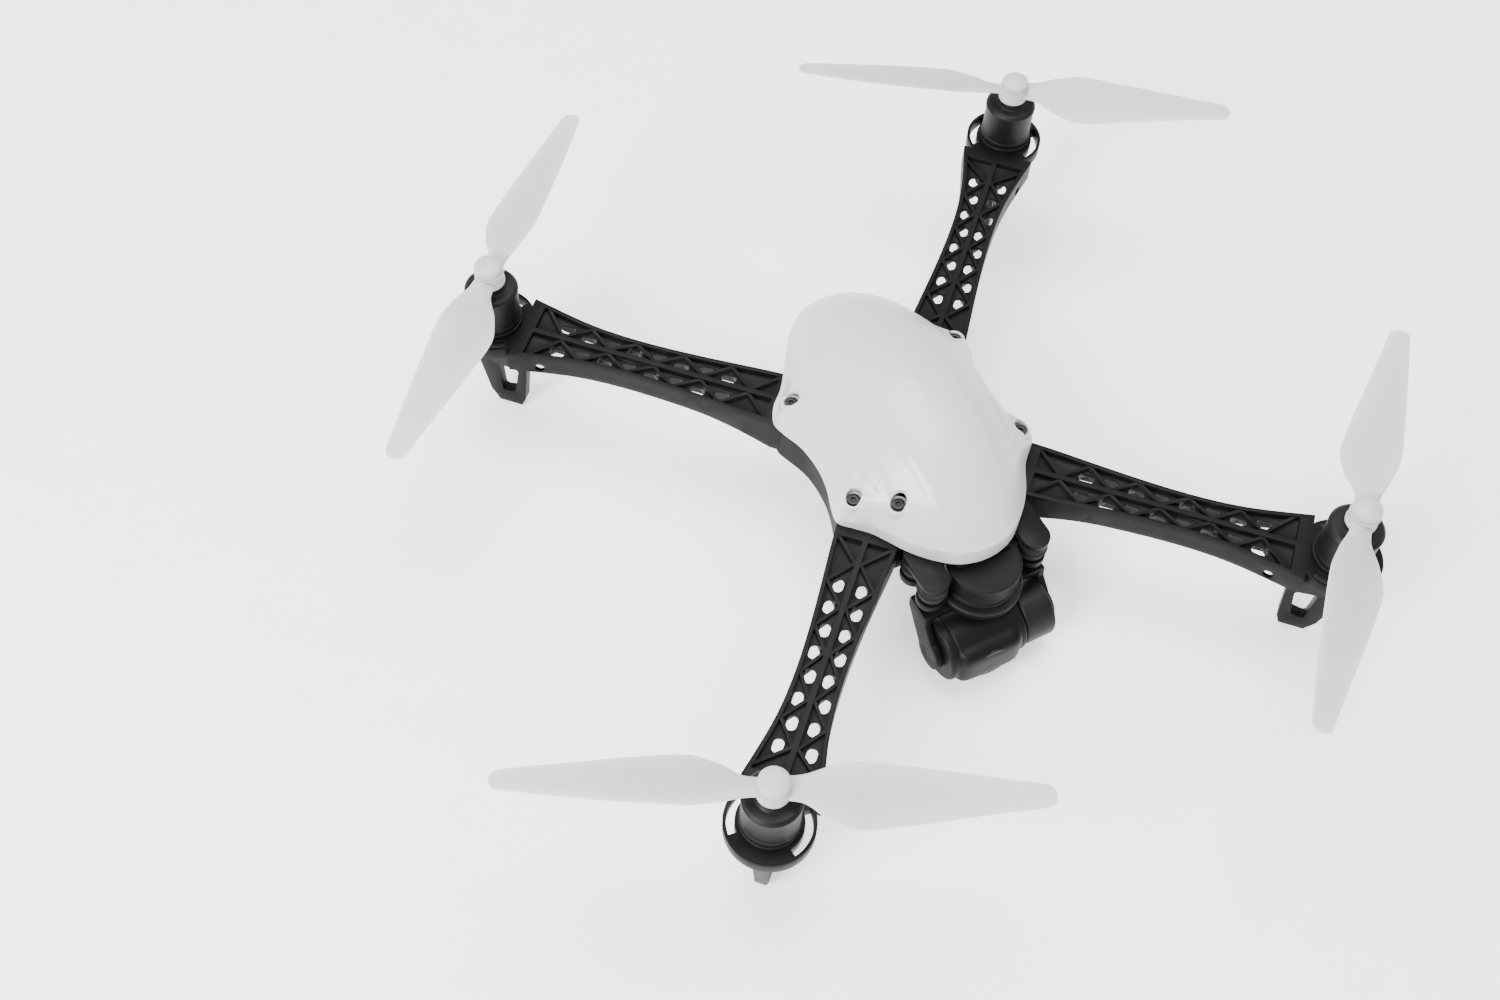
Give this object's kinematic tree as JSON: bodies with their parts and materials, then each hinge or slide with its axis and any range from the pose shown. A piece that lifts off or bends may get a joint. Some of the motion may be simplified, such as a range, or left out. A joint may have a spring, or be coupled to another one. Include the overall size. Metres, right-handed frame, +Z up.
{
  "type": "camera quadcopter drone",
  "caption": "X-frame quadcopter with a smooth canopy, open truss arms, direct-drive propellers, loop feet and a damped pan-tilt camera under its nose.",
  "frame": {"origin": "on the ground, on the vertical line through the middle of the four motors; the feet stand on z = 0", "axes": "+Z up; the nose and camera look along -Y; +X is the craft's left; motors at +-159.1 mm on X and Y"},
  "size_m": [0.5314, 0.4937, 0.1165],
  "materials": {
    "white_shell": "satin, pale off-white",
    "white_nylon": "satin translucent nylon",
    "black_nylon": "moulded glass-filled nylon, fine grain",
    "black_plastic": "matte moulded",
    "black_screw": "black oxide",
    "black_anodised": "satin black anodised",
    "steel_core": "lacquered laminations",
    "magnet": "plated",
    "soft_rubber": "soft matte",
    "circuit_board": "solder mask",
    "module_plastic": "matte",
    "ceramic_module": "ceramic",
    "standoff": "turned",
    "deck_plate": "laminate sheet",
    "battery_wrap": "shrink wrap",
    "button_plastic": "satin",
    "camera_shell": "fine satin",
    "lens_ring": "satin black",
    "lens_glass": "coated glass"
  },
  "bodies": {
    "airframe": {"arm_front_left": "black_nylon", "arm_front_right": "black_nylon", "arm_rear_left": "black_nylon", "arm_rear_right": "black_nylon", "arm_screws": "black_screw", "board_standoffs": "standoff", "canopy": "white_shell", "canopy_screws": "black_screw", "damper_balls": "soft_rubber", "electronics_deck": "deck_plate", "flight_board": "circuit_board", "fork_screws": "black_screw", "gimbal_fork": "black_plastic", "gimbal_plate": "black_plastic", "lower_hull": "black_plastic", "motor_base_front_left": "black_anodised", "motor_base_front_right": "black_anodised", "motor_base_rear_left": "black_anodised", "motor_base_rear_right": "black_anodised", "motor_screws": "black_screw", "motor_stator_front_left": "steel_core", "motor_stator_front_right": "steel_core", "motor_stator_rear_left": "steel_core", "motor_stator_rear_right": "steel_core", "pan_motor_housing": "black_anodised", "power_board": "circuit_board", "receiver": "module_plastic", "satellite_antenna": "ceramic_module", "speed_controllers": "module_plastic"},
    "rotor_front_right": {"motor_bell_front_right": "black_anodised", "motor_magnets_front_right": "magnet", "propeller_front_right": "white_nylon", "propeller_cap_front_right": "white_nylon"},
    "rotor_front_left": {"motor_bell_front_left": "black_anodised", "motor_magnets_front_left": "magnet", "propeller_front_left": "white_nylon", "propeller_cap_front_left": "white_nylon"},
    "rotor_rear_left": {"motor_bell_rear_left": "black_anodised", "motor_magnets_rear_left": "magnet", "propeller_rear_left": "white_nylon", "propeller_cap_rear_left": "white_nylon"},
    "rotor_rear_right": {"motor_bell_rear_right": "black_anodised", "motor_magnets_rear_right": "magnet", "propeller_rear_right": "white_nylon", "propeller_cap_rear_right": "white_nylon"},
    "camera_pan": {"pan_motor_rotor": "black_anodised", "camera_yoke": "black_plastic", "tilt_motor": "black_anodised"},
    "camera_tilt": {"camera_body": "camera_shell", "lens_barrel": "lens_ring", "lens_glass": "lens_glass"},
    "battery": {"battery_pack": "battery_wrap", "battery_cap": "black_plastic"},
    "power_key": {"power_button": "button_plastic"}
  },
  "joints": [
    {"name": "spin_front_right", "type": "hinge", "parent": "airframe", "child": "rotor_front_right", "pos_m": [-0.1591, -0.1591, 0.104], "axis": [0, 0, 1], "continuous": true},
    {"name": "spin_front_left", "type": "hinge", "parent": "airframe", "child": "rotor_front_left", "pos_m": [0.1591, -0.1591, 0.104], "axis": [0, 0, 1], "continuous": true},
    {"name": "spin_rear_left", "type": "hinge", "parent": "airframe", "child": "rotor_rear_left", "pos_m": [0.1591, 0.1591, 0.104], "axis": [0, 0, 1], "continuous": true},
    {"name": "spin_rear_right", "type": "hinge", "parent": "airframe", "child": "rotor_rear_right", "pos_m": [-0.1591, 0.1591, 0.104], "axis": [0, 0, 1], "continuous": true},
    {"name": "camera_pan", "type": "hinge", "parent": "airframe", "child": "camera_pan", "pos_m": [0, -0.082, 0.045], "axis": [0, 0, 1], "range_deg": [-60, 60]},
    {"name": "camera_tilt", "type": "hinge", "parent": "camera_pan", "child": "camera_tilt", "pos_m": [0, -0.097, 0.0205], "axis": [-1, 0, 0], "range_deg": [-90, 20]},
    {"name": "battery_slide", "type": "slide", "parent": "airframe", "child": "battery", "axis": [0, 1, 0], "range_m": [0, 0.13]},
    {"name": "button_press", "type": "slide", "parent": "battery", "child": "power_key", "axis": [0, -1, 0], "range_m": [0, 0.001], "stiffness_N_per_m": 800}
  ]
}
